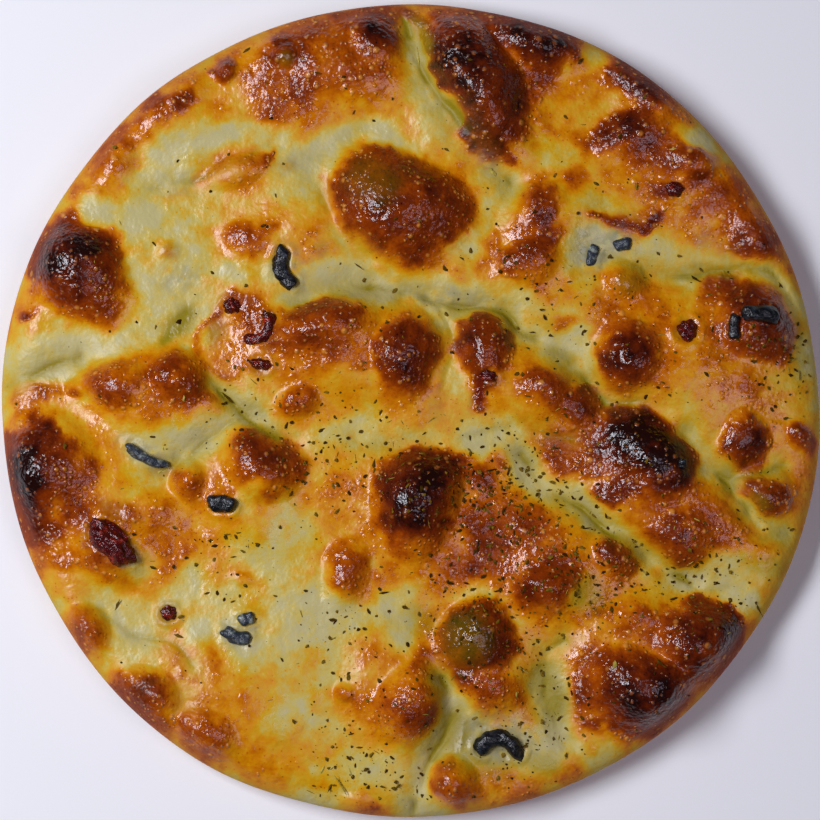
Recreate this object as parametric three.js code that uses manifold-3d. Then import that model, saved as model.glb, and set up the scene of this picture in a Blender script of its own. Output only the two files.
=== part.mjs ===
// A round focaccia: one flat loaf of blistered dough with dried herb flakes baked onto its crust, and
// olive and dried tomato pieces pressed into it. Millimetres, +Z up, origin at the middle of the base.

import * as THREE from 'three';
import { mergeVertices } from 'three/addons/utils/BufferGeometryUtils.js';
import Module from 'manifold-3d';

const wasm = await Module();
wasm.setup();

// Driving dimensions of the loaf
const loafRadius = 135;
const doughHeight = 17.5; // top of the plain dough in the valleys
const crownRise = 2; // how much higher the dough stands in the middle
const rimWidth = 11; // width of the rounded edge, seen from above
const waistHeight = 9; // where the side stands out furthest
const baseInset = 4; // how far the flat base stays inside the side
const creaseWidth = 4.2; // half width of the creases between swellings
const creaseShare = 0.7; // how much of a crease's depth the proof left open
const pieceGap = 0.3; // clearance between a topping and its pocket in the dough

// Facets: rings across the top, steps round the edge, steps down to the base
const topRings = 30;
const edgeSteps = 4;
const footSteps = 2;

// Waves in the outline: waves round the loaf, share of the radius, phase. Even counts keep it centred.
const outlineWaves = [
  [2, 0.002, 0.4],
  [4, 0.0022, 1.9],
  [6, 0.0018, 0.7],
  [10, 0.0014, 2.6],
  [16, 0.001, 1.1],
];

// Domes of the crust: x, y, half length, half width, turn in degrees, rise, softness of the foot.
// Pillows are the broad swells between the dimples of the dough.
const pillows = [
  [-33, 108, 40, 23, 2, 4, 0.5],
  [-83, 103, 26, 20, 40, 3, 0.7],
  [23, 104, 29, 30, -50, 3, 0.5],
  [93, 81, 40, 26, -30, 3, 0.7],
  [-3, 65, 34, 28, -15, 2, 0.8],
  [-36, 56, 30, 15, -10, 2, 0.8],
  [45, 58, 20, 22, -35, 3, 0.7],
  [-26, 17, 40, 24, 3, 5, 0.5],
  [40, 6, 30, 17, -32, 4, 0.5],
  [97, 13, 37, 32, 0, 4, 0.5],
  [-86, 2, 28, 21, -5, 4, 0.5],
  [-104, -31, 36, 33, -30, 3, 0.7],
  [-56, -31, 28, 19, -35, 4, 0.6],
  [3, -36, 28, 30, -10, 3, 0.7],
  [83, -30, 36, 26, -38, 4, 0.5],
  [50, -53, 26, 21, -35, 3, 0.7],
  [-53, -93, 50, 36, -20, 3, 0.9],
  [-8, -93, 26, 26, 0, 3, 0.7],
  [23, -85, 21, 23, -20, 3, 0.6],
  [79, -85, 36, 27, 5, 4, 0.5],
];

// Blisters are the smaller, steeper domes that stand on them
const blisters = [
  // back of the loaf
  [22, 108, 28, 16, -62, 8, 0.2],
  [46, 128, 21, 12, -20, 7, 0.3],
  [-3, 66, 24, 20, -22, 9, 0.2],
  [-13, 120, 13, 11, 0, 4, 0.7],
  [-23, 110, 21, 15, 0, 2, 0.7],
  [-68, 93, 17, 7, 0, 1, 0.8],
  [-97, 87, 11, 9, 60, 3, 0.7],
  [-59, 77, 17, 5, 20, 3, 0.5],
  [-49, 57, 11, 9, -20, 2, 0.9],
  // left side
  [-109, 46, 21, 19, -10, 9, 0.3],
  [-94, 11, 14, 9, -18, 4, 0.3],
  [-75, 12, 11, 10, 0, 4, 0.3],
  [-122, -23, 21, 22, 0, 8, 0.5],
  [-100, -48, 15, 13, -20, 4, 0.7],
  [-86, -35, 15, 11, 0, 2, 0.9],
  [-73, -27, 7, 9, 0, 4, 0.5],
  [-48, -21, 17, 13, -35, 7, 0.3],
  [-106, -74, 11, 9, -20, 5, 0.4],
  // middle
  [-30, 26, 22, 11, 6, 4, 0.5],
  [-2, 19, 12, 17, 0, 5, 0.3],
  [-36, 1, 9, 6, 0, 3, 0.9],
  [24, 22, 12, 11, 0, 5, 0.3],
  [2, -31, 18, 21, -10, 8, 0.3],
  [-22, -53, 11, 14, 0, 4, 0.6],
  [30, -36, 15, 15, 0, 1, 0.9],
  [20, -26, 7, 7, 0, 1, 0.9],
  [48, -59, 16, 9, 5, 4, 0.7],
  // right side
  [45, 68, 9, 8, 0, 2, 0.5],
  [38, 49, 14, 8, 35, 3, 0.6],
  [45, 4, 12, 9, -25, 3, 0.6],
  [56, 0, 8, 7, 0, 2, 0.5],
  [72, 40, 9, 8, 0, 4, 0.5],
  [71, 16, 13, 13, -10, 6, 0.6],
  [111, 30, 16, 17, -10, 6, 0.5],
  [110, -13, 11, 11, 0, 4, 0.6],
  [116, 60, 10, 15, 30, 3, 0.7],
  [75, 86, 15, 8, 35, 2, 0.7],
  [93, 82, 9, 8, 0, 3, 0.5],
  [79, 105, 18, 7, -38, 3, 0.6],
  [123, -29, 10, 7, -15, 4, 0.5],
  [129, -10, 7, 7, 0, 2, 0.7],
  [80, -5, 11, 7, 0, 4, 0.5],
  [81, -17, 20, 14, -20, 5, 0.6],
  [93, -43, 13, 12, -40, 3, 0.8],
  [65, -50, 10, 10, 0, 5, 0.5],
  [76, -68, 15, 5, -5, 1, 0.9],
  // front of the loaf
  [95, -76, 15, 15, 10, 7, 0.3],
  [70, -93, 20, 17, -5, 8, 0.3],
  [21, -75, 15, 13, 10, 6, 0.3],
  [26, -93, 15, 10, 0, 2, 0.8],
  [-3, -97, 15, 17, 0, 6, 0.5],
  [-86, -98, 19, 13, -38, 6, 0.4],
  [-66, -109, 15, 11, -30, 4, 0.7],
  [14, -126, 10, 13, 0, 5, 0.5],
  [37, -129, 11, 7, 0, 3, 0.7],
  [-21, -131, 10, 6, 0, 3, 0.6],
];

// Creases that fingers and folds left in the dough: depth, then the points that each one passes
const creases = [
  [5, [-36, 37], [-8, 39], [17, 33], [30, 31], [48, 21], [65, 1]],
  [3, [-17, 89], [-31, 83], [-32, 72], [-28, 62], [-14, 49]],
  [5, [-1, 130], [5, 107], [20, 89], [31, 75]],
  [4, [76, 44], [111, 45], [124, 37], [130, 17]],
  [6, [90, -9], [105, -25], [115, -38], [123, -40]],
  [3, [105, -25], [121, -20]],
  [5, [37, -17], [60, -37], [82, -54], [93, -57]],
  [6, [10, -89], [14, -102], [3, -119], [0, -134]],
  [3, [14, -103], [24, -106]],
  [6, [43, -87], [46, -97], [52, -107]],
  [4, [-132, 8], [-109, 17]],
  [5, [-62, 6], [-49, -7], [-40, -13]],
  [3, [-55, -3], [-73, -17]],
  [3, [-17, -12], [8, -10]],
  [2, [-87, 73], [-74, 73], [-47, 86]],
  [2, [-81, 26], [-71, 36]],
  [2, [10, 33], [12, 20], [9, -10]],
  [3, [67, 0], [83, 1]],
  [2, [-105, -66], [-79, -78], [-73, -85]],
  [2, [-89, -90], [-70, -100]],
  [2, [53, -10], [7, -11]],
  [2, [109, -60], [85, -54]],
  [3, [50, -76], [43, -79], [43, -87]],
  [2, [63, 50], [76, 46]],
];

// Pieces cut from olive rings: x, y, bend radius, length, width, height, turn, lift above the crust
const olives = {
  olive_piece_1: [-42.5, 45, 7.4, 15, 5.2, 5, 104, 0.6],
  olive_piece_2: [-86.6, -17.2, 20, 15.5, 3.2, 4.4, 153, 0.4],
  olive_piece_3: [-61.5, -32, 12, 8.8, 5.6, 5.4, -4, 0.8],
  olive_piece_4: [114, 30, 18, 13, 5, 4.6, -2, 1],
  olive_piece_5: [105.6, 26, 14, 8, 3.6, 4, 84, 0.8],
  olive_piece_6: [59.5, 50, 9, 7, 3.6, 4, 75, 0.3],
  olive_piece_7: [69.5, 53.5, 9, 5.4, 4, 4, 10, 0.3],
  olive_piece_8: [-53.7, -69.6, 9, 5, 4, 3.8, 20, 0.5],
  olive_piece_9: [-57, -75.4, 7, 9.4, 4.2, 4.2, 165, 0.5],
  olive_piece_10: [29.3, -108.3, 6, 19.5, 5.2, 5.4, -5, 0.8],
  olive_piece_11: [88.5, -19, 8, 3.6, 2.8, 3.2, 70, 0.6],
};

// Strips of dried tomato that have curled up: the same values
const tomatoCurls = {
  tomato_piece_2: [-47.2, 23.4, 4.9, 17, 3.6, 4, -135, 0.5],
};

// Lumps of dried tomato: x, y, half length, half width, half height, turn, lift above the crust
const tomatoLumps = {
  tomato_piece_1: [-97.5, -44.5, 9.2, 4.6, 3.4, -40, 0.6],
  tomato_piece_3: [90.6, 24.6, 3.2, 3.8, 2.4, 20, 0.5],
  tomato_piece_4: [-79, -67.8, 2.8, 2.4, 2, 0, 0.4],
  tomato_piece_5: [25.4, 9.6, 2.6, 1.9, 1.8, 0, 0.4],
  tomato_piece_6: [-58.6, 32.8, 2.9, 2.6, 2, 0, 0.4],
  tomato_piece_7: [86.4, 71.2, 2.7, 2.7, 1.8, 0, 0.3],
  tomato_piece_8: [-49.2, 13.6, 3.2, 2, 1.8, -10, 0.4],
};

// Herb flakes: how many, their largest and smallest length, and the patches where they lie thickest
const flakeCount = 70;
const flakeLength = [4.6, 2.6];
const flakePatches = [
  [0, 0, 122, 1.2],
  [-52, -4, 14, 1],
  [-18, -12, 22, 1.2],
  [36, -34, 24, 2.4],
  [44, -66, 30, 2.2],
  [-18, -76, 16, 1],
  [96, -60, 16, 1.2],
  [122, 14, 12, 1],
  [-14, -116, 20, 1],
];

function outline(angle) {
  return outlineWaves.reduce(
    (radius, [count, share, phase]) => radius + loafRadius * share * Math.cos(count * angle + phase),
    loafRadius,
  );
}

// Height of one dome at x, y: a full cap when its foot is sharp, a bell when its foot is soft
function domeHeight(x, y, [centreX, centreY, long, wide, turn, rise, soft]) {
  const angle = THREE.MathUtils.degToRad(turn);
  const [east, north] = [x - centreX, y - centreY];
  const along = (east * Math.cos(angle) + north * Math.sin(angle)) / long;
  const across = (north * Math.cos(angle) - east * Math.sin(angle)) / wide;
  const reach = Math.hypot(along, across);
  if (reach >= 1) return 0;
  // the dough leans back as it rises, so the far side of a dome is the steep one
  const far = THREE.MathUtils.smoothstep(north / (Math.hypot(east, north) + 1), -0.6, 0.6);
  const power = 2 + 0.8 * far * (1 - soft);
  const fade = 1.05 + soft - (0.1 + 0.4 * soft) * far;
  return rise * (1 - reach ** power) ** fade;
}

// Domes that meet are blended, the higher one leading
function blendedHeight(x, y, domes) {
  return Math.cbrt(domes.reduce((sum, dome) => sum + domeHeight(x, y, dome) ** 3, 0));
}

function distanceToPath(x, y, path) {
  let nearest = Infinity;
  for (let i = 1; i < path.length; i++) {
    const [startX, startY] = path[i - 1];
    const stepX = path[i][0] - startX;
    const stepY = path[i][1] - startY;
    const share = ((x - startX) * stepX + (y - startY) * stepY) / (stepX * stepX + stepY * stepY);
    const held = THREE.MathUtils.clamp(share, 0, 1);
    nearest = Math.min(nearest, Math.hypot(x - startX - held * stepX, y - startY - held * stepY));
  }
  return nearest;
}

function topHeight(x, y) {
  // forms are looked up at a point that wanders a little, which makes their outlines uneven
  const wanderX = x + 1.3 * Math.sin(y / 6.3 + 1.1 * Math.sin(x / 9));
  const wanderY = y + 1.3 * Math.sin(x / 7.1 + 2 + 1.2 * Math.sin(y / 8));
  const crown = crownRise * (1 - (x * x + y * y) / (loafRadius * loafRadius));
  const waves = 0.8 * Math.sin(x / 13 + 1) * Math.cos(y / 17) + 0.5 * Math.sin((x + 2 * y) / 15);
  const raised = blendedHeight(wanderX, wanderY, pillows) + blendedHeight(wanderX, wanderY, blisters);
  const cut = creases.map(
    ([depth, ...path]) => depth * Math.exp(-((distanceToPath(wanderX, wanderY, path) / creaseWidth) ** 2)),
  );
  return doughHeight + crown + waves + raised - creaseShare * Math.max(...cut);
}

// A closed loaf: rings over the top, round the edge, and in under it to the flat base
function loafGeometry() {
  const positions = [0, 0, topHeight(0, 0)];
  const triangles = [];
  const outerCount = 6 * topRings;

  for (let ring = 1; ring <= topRings; ring++) {
    for (let i = 0; i < 6 * ring; i++) {
      const angle = (2 * Math.PI * i) / (6 * ring);
      const radius = ((outline(angle) - rimWidth) * ring) / topRings;
      const x = radius * Math.cos(angle);
      const y = radius * Math.sin(angle);
      positions.push(x, y, topHeight(x, y));
    }
  }
  const edge = [];
  for (let step = 1; step <= edgeSteps; step++) {
    const fall = (0.5 * Math.PI * step) / edgeSteps;
    edge.push([rimWidth * (1 - Math.sin(fall)), Math.cos(fall), 1]);
  }
  for (let step = 1; step <= footSteps; step++) {
    const fall = (0.5 * Math.PI * step) / footSteps;
    edge.push([baseInset * (1 - Math.cos(fall)), 0, 1 - Math.sin(fall)]);
  }
  for (const [inset, topShare, waistShare] of edge) {
    for (let i = 0; i < outerCount; i++) {
      const angle = (2 * Math.PI * i) / outerCount;
      const radius = outline(angle) - inset;
      const x = radius * Math.cos(angle);
      const y = radius * Math.sin(angle);
      positions.push(x, y, waistHeight * waistShare + (topHeight(x, y) - waistHeight) * topShare);
    }
  }
  positions.push(0, 0, 0);

  const ringStart = (ring) => (ring === 0 ? 0 : 1 + 3 * ring * (ring - 1));
  for (let ring = 0; ring < topRings; ring++) {
    const innerCount = 6 * ring;
    const inner = (i) => ringStart(ring) + (innerCount ? i % innerCount : 0);
    const outer = (i) => ringStart(ring + 1) + (i % (innerCount + 6));
    for (let part = 0; part < 6; part++) {
      for (let i = 0; i <= ring; i++) {
        const near = part * ring + i;
        const far = part * (ring + 1) + i;
        triangles.push(inner(near), outer(far), outer(far + 1));
        if (i < ring) triangles.push(inner(near), outer(far + 1), inner(near + 1));
      }
    }
  }
  const edgeStart = ringStart(topRings);
  for (let row = 0; row < edge.length; row++) {
    for (let i = 0; i < outerCount; i++) {
      const next = (i + 1) % outerCount;
      const upper = edgeStart + row * outerCount;
      const lower = upper + outerCount;
      triangles.push(upper + i, lower + i, lower + next, upper + i, lower + next, upper + next);
    }
  }
  const baseStart = edgeStart + edge.length * outerCount;
  const baseCentre = baseStart + outerCount;
  for (let i = 0; i < outerCount; i++) {
    triangles.push(baseStart + i, baseCentre, baseStart + ((i + 1) % outerCount));
  }
  return indexed(positions, triangles);
}

function indexed(positions, triangles) {
  const geometry = new THREE.BufferGeometry();
  geometry.setAttribute('position', new THREE.Float32BufferAttribute(positions, 3));
  geometry.setIndex(triangles);
  return geometry;
}

// A bar bent in the plane, with round ends: a piece of an olive ring or a curled strip
function curvedBarGeometry(bendRadius, length, width, height, around) {
  const steps = 8;
  const sides = 8;
  const span = (length + 2 * around) / bendRadius;
  const positions = [];
  const triangles = [];
  for (let step = 1; step < steps; step++) {
    const share = (2 * step) / steps - 1;
    const angle = (share * span) / 2;
    const fullness = Math.sqrt(1 - share ** 4);
    for (let side = 0; side < sides; side++) {
      const round = (2 * Math.PI * side) / sides;
      const radius = bendRadius + (width / 2 + around) * fullness * Math.cos(round);
      const up = (height / 2 + around) * fullness * Math.sin(round);
      positions.push(radius * Math.sin(angle), radius * Math.cos(angle) - bendRadius, up);
    }
  }
  const tips = positions.length / 3;
  for (const share of [-1, 1]) {
    const angle = (share * span) / 2;
    positions.push(bendRadius * Math.sin(angle), bendRadius * Math.cos(angle) - bendRadius, 0);
  }
  for (let side = 0; side < sides; side++) {
    const next = (side + 1) % sides;
    for (let step = 0; step < steps - 2; step++) {
      const here = step * sides;
      const there = here + sides;
      triangles.push(here + side, there + next, there + side, here + side, here + next, there + next);
    }
    const last = (steps - 2) * sides;
    triangles.push(tips, next, side, tips + 1, last + side, last + next);
  }
  return indexed(positions, triangles);
}

// A shrivelled lump of dried tomato
function tomatoGeometry(long, wide, high, around) {
  const geometry = new THREE.IcosahedronGeometry(1, long > 5 ? 3 : 1);
  geometry.deleteAttribute('normal');
  geometry.deleteAttribute('uv');
  const lump = mergeVertices(geometry, 1e-4);
  const points = lump.getAttribute('position');
  for (let i = 0; i < points.count; i++) {
    const [x, y, z] = [points.getX(i), points.getY(i), points.getZ(i)];
    const wrinkle = 1 + 0.09 * Math.sin(7 * x + 3 * y) + 0.07 * Math.sin(9 * y - 4 * z + 1);
    const [reachX, reachY, reachZ] = [long + around, wide + around, high + around];
    points.setXYZ(i, x * reachX * wrinkle, y * reachY * wrinkle, z * reachZ * wrinkle);
  }
  return lump;
}

// Lays a topping on the crust at x, y, along the slope there
function placeOnCrust(mesh, x, y, turn, lift) {
  const reach = 3;
  const slopeX = (topHeight(x + reach, y) - topHeight(x - reach, y)) / (2 * reach);
  const slopeY = (topHeight(x, y + reach) - topHeight(x, y - reach)) / (2 * reach);
  const normal = new THREE.Vector3(-slopeX, -slopeY, 1).normalize();
  const tilt = new THREE.Quaternion().setFromUnitVectors(new THREE.Vector3(0, 0, 1), normal);
  const spin = new THREE.Quaternion().setFromAxisAngle(
    new THREE.Vector3(0, 0, 1),
    THREE.MathUtils.degToRad(turn),
  );
  mesh.position.set(x, y, topHeight(x, y) + lift);
  mesh.quaternion.copy(tilt.multiply(spin));
  mesh.updateMatrix();
  return mesh;
}

function toSolid(geometry) {
  const merged = mergeVertices(geometry, 1e-5);
  return new wasm.Manifold(
    new wasm.Mesh({
      numProp: 3,
      vertProperties: new Float32Array(merged.getAttribute('position').array),
      triVerts: new Uint32Array(merged.getIndex().array),
    }),
  );
}

function toGeometry(solid) {
  const mesh = solid.getMesh();
  return indexed(Array.from(mesh.vertProperties), Array.from(mesh.triVerts));
}

// Repeatable random numbers between 0 and 1
function randomSource(seed) {
  let state = seed;
  return () => {
    state = (Math.imul(state, 1664525) + 1013904223) >>> 0;
    return state / 4294967296;
  };
}

// A dried leaf flake: a pointed sliver with a ridge
function flakeGeometry(length) {
  const width = 0.36 * length;
  const thickness = 1;
  const positions = [
    -length / 2, 0, 0,
    length / 2, 0, 0.2,
    0, width / 2, 0,
    0, -width / 2, 0,
    -length / 8, 0, thickness,
    0, 0, -thickness,
  ];
  const triangles = [0, 3, 4, 3, 1, 4, 1, 2, 4, 2, 0, 4, 3, 0, 5, 1, 3, 5, 2, 1, 5, 0, 2, 5];
  return indexed(positions, triangles);
}

function herbFlakes(toppings) {
  const random = randomSource(41);
  const total = flakePatches.reduce((sum, patch) => sum + patch[3], 0);
  const flakes = [];
  while (flakes.length < flakeCount) {
    let pick = random() * total;
    const [x0, y0, spread] = flakePatches.find((patch) => (pick -= patch[3]) < 0) ?? flakePatches[0];
    const angle = 2 * Math.PI * random();
    const away = spread * Math.sqrt(random());
    const x = x0 + away * Math.cos(angle);
    const y = y0 + away * Math.sin(angle);
    const share = flakes.length / flakeCount;
    const length = flakeLength[0] + (flakeLength[1] - flakeLength[0]) * share;
    const turn = 360 * random();
    const blocked = toppings.some(
      ({ position, userData }) => Math.hypot(position.x - x, position.y - y) < userData.reach + length,
    );
    if (blocked || Math.hypot(x, y) > loafRadius - rimWidth) continue;
    const flake = placeOnCrust(new THREE.Mesh(flakeGeometry(length)), x, y, turn, 0.1);
    flakes.push(toSolid(flake.geometry.applyMatrix4(flake.matrix)));
  }
  return flakes;
}

const crustMaterial = new THREE.MeshStandardMaterial({ color: 0xb9731d, roughness: 0.4, metalness: 0 });
const oliveMaterial = new THREE.MeshStandardMaterial({ color: 0x14181c, roughness: 0.25, metalness: 0 });
const tomatoMaterial = new THREE.MeshStandardMaterial({ color: 0x5e120c, roughness: 0.3, metalness: 0 });

const toppings = [];
const pockets = [];

// Adds one topping, and the slightly larger pocket that it sits in
function addTopping(name, material, shape, sizes, reach, [x, y, turn, lift]) {
  const piece = new THREE.Mesh(shape(...sizes, 0), material.clone());
  piece.name = name;
  piece.userData.reach = reach;
  toppings.push(placeOnCrust(piece, x, y, turn, lift));
  pockets.push(toSolid(shape(...sizes, 2 * pieceGap).applyMatrix4(piece.matrix)));
}

for (const [set, material] of [[olives, oliveMaterial], [tomatoCurls, tomatoMaterial]]) {
  for (const [name, [x, y, bend, length, width, height, turn, lift]] of Object.entries(set)) {
    const sizes = [bend, length, width, height];
    addTopping(name, material, curvedBarGeometry, sizes, length / 2, [x, y, turn, lift]);
  }
}

for (const [name, [x, y, long, wide, high, turn, lift]] of Object.entries(tomatoLumps)) {
  const sizes = [long, wide, high];
  addTopping(name, tomatoMaterial, tomatoGeometry, sizes, Math.max(long, wide), [x, y, turn, lift]);
}

let loafSolid = toSolid(loafGeometry());
for (const flake of herbFlakes(toppings)) loafSolid = loafSolid.add(flake);
for (const pocket of pockets) loafSolid = loafSolid.subtract(pocket);

const loaf = new THREE.Mesh(toGeometry(loafSolid), crustMaterial);
loaf.name = 'loaf';

const group = new THREE.Group();
group.add(loaf, ...toppings);

export default group;
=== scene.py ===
import math

import bmesh
import bpy
import numpy as np
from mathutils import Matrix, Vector


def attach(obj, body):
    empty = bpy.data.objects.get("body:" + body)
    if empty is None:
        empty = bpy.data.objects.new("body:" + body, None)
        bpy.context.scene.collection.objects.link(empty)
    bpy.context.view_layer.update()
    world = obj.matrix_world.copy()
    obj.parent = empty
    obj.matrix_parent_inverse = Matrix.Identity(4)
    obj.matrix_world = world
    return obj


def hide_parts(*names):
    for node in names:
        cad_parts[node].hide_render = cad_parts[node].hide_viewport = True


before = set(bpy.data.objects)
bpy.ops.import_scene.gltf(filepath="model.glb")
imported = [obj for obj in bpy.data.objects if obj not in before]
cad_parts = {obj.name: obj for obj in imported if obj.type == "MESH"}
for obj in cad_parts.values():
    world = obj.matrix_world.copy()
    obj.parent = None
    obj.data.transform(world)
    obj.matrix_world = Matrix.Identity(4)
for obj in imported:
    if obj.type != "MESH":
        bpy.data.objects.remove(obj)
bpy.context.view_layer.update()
mm = 0.001  # lists are in millimetres, meshes in metres

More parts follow.
